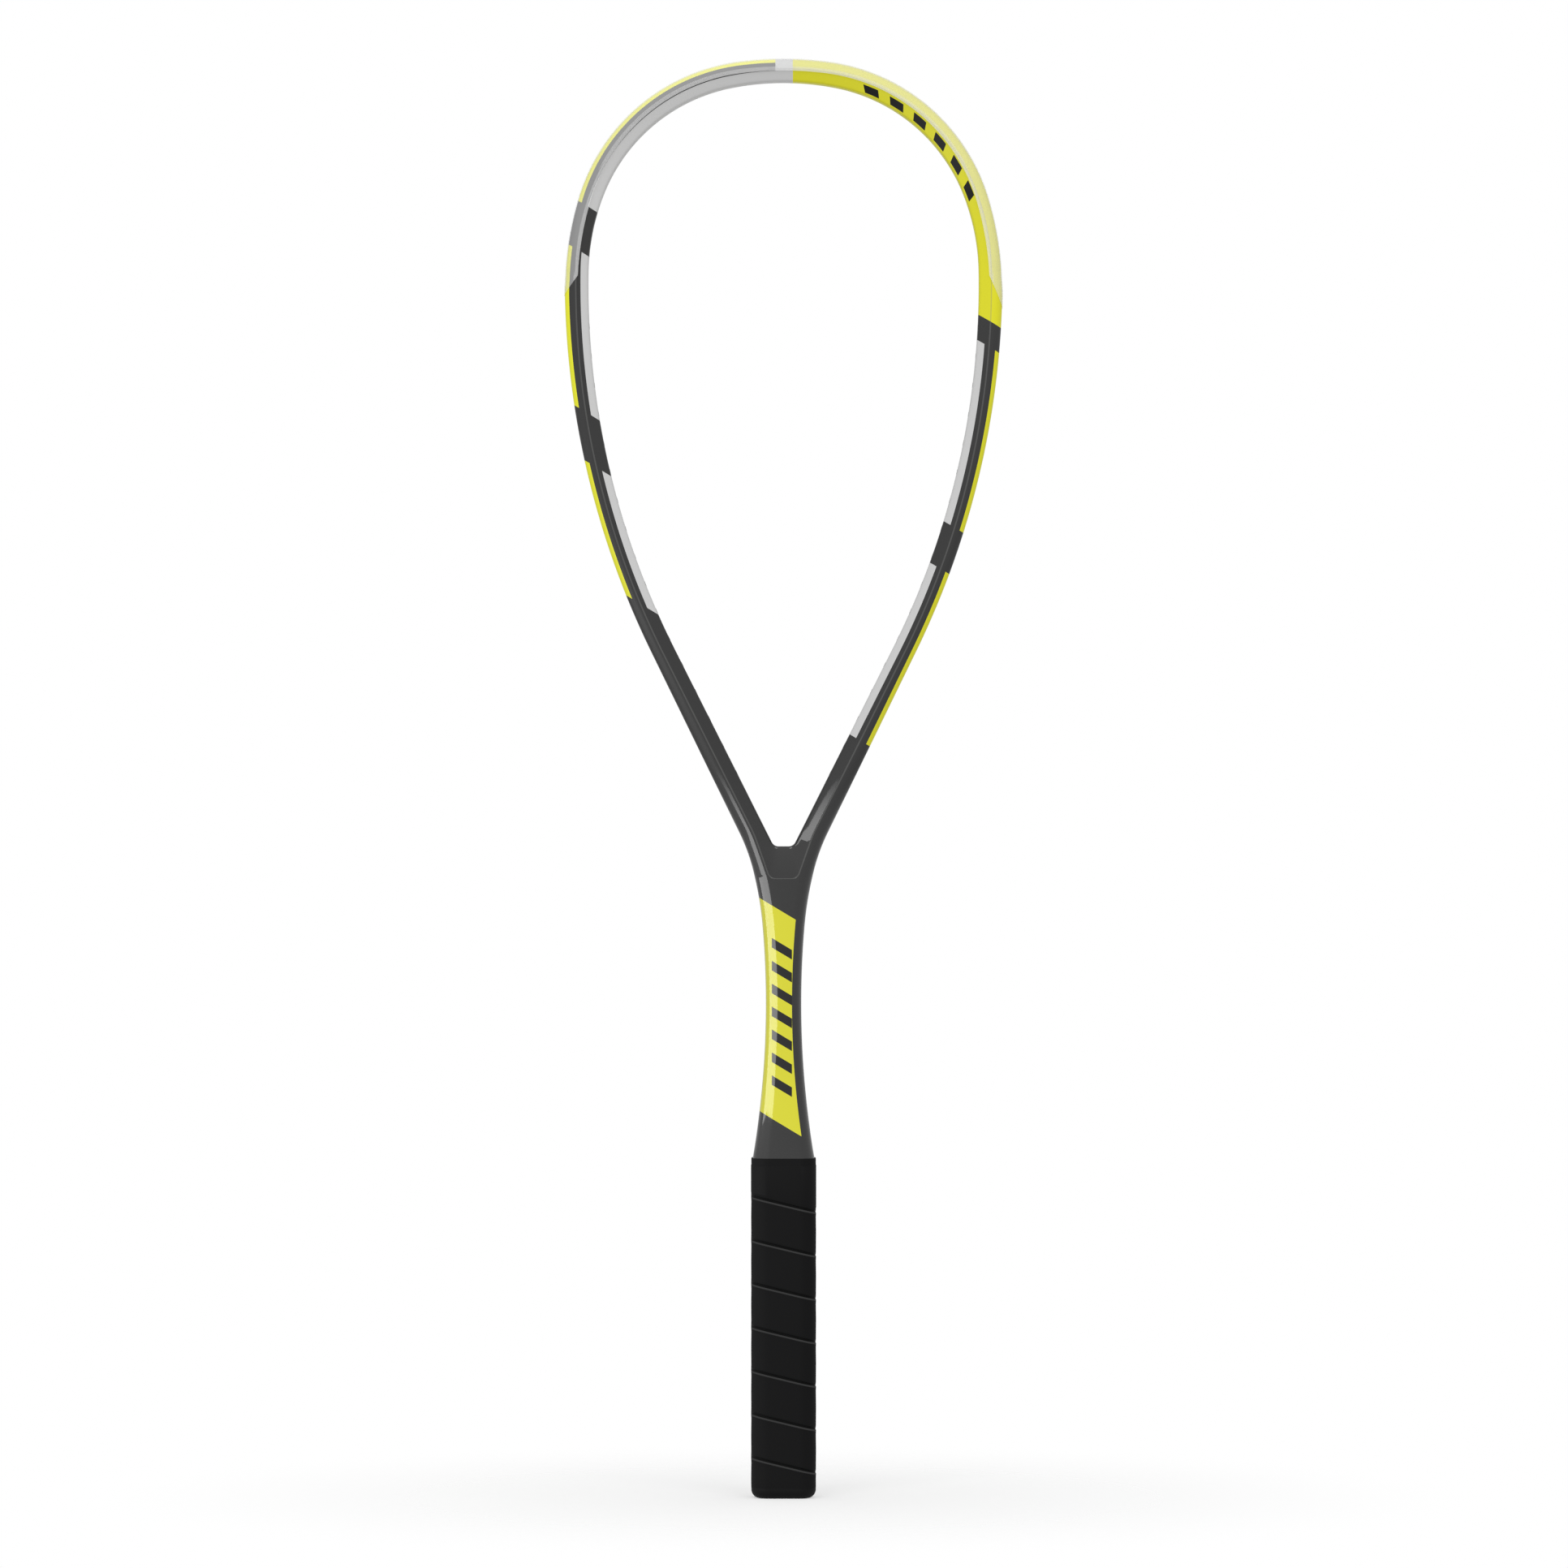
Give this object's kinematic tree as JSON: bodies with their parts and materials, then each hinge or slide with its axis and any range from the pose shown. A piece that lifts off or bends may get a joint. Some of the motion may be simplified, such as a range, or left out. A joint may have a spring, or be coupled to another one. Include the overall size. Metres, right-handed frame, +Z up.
{
  "type": "squash racket",
  "caption": "Unstrung squash racket with a teardrop head, hollow frame drilled for strings, bumper guard, grommet strips, throat wedge and wrapped handle.",
  "frame": {"origin": "middle of the butt cap's end face, at the foot of the racket stood upright", "axes": "+Z up the shaft to the crown of the head, +X across the head to the right as seen from the front, +Y square to the string plane, away from the viewer"},
  "size_m": [0.2082, 0.0254, 0.686],
  "materials": {
    "frame_paint": "clear-coated paint in yellow, charcoal and light grey over carbon laminate",
    "wedge_plastic": "painted charcoal with the frame",
    "bumper_plastic": "translucent nylon",
    "grommet_plastic": "moulded nylon, fine texture",
    "grip_cushion": "perforated polyurethane over felt, slightly tacky",
    "tape_film": "black vinyl tape",
    "collar_rubber": "soft matt rubber",
    "cap_plastic": "moulded black plastic, spark-eroded texture",
    "staple_steel": "galvanised wire",
    "foam": "closed-cell polyurethane foam",
    "weight_metal": "plain turned steel"
  },
  "bodies": {
    "root": {"frame_tube": "frame_paint", "throat_wedge": "wedge_plastic", "head_bumper": "bumper_plastic", "grommet_strip_right": "grommet_plastic", "grommet_strip_left": "grommet_plastic", "grip_wrap": "grip_cushion", "finishing_tape": "tape_film", "grip_collar": "collar_rubber", "butt_cap": "cap_plastic", "butt_staples": "staple_steel", "grip_tack": "staple_steel", "handle_foam": "foam", "balance_weight": "weight_metal"}
  },
  "joints": []
}
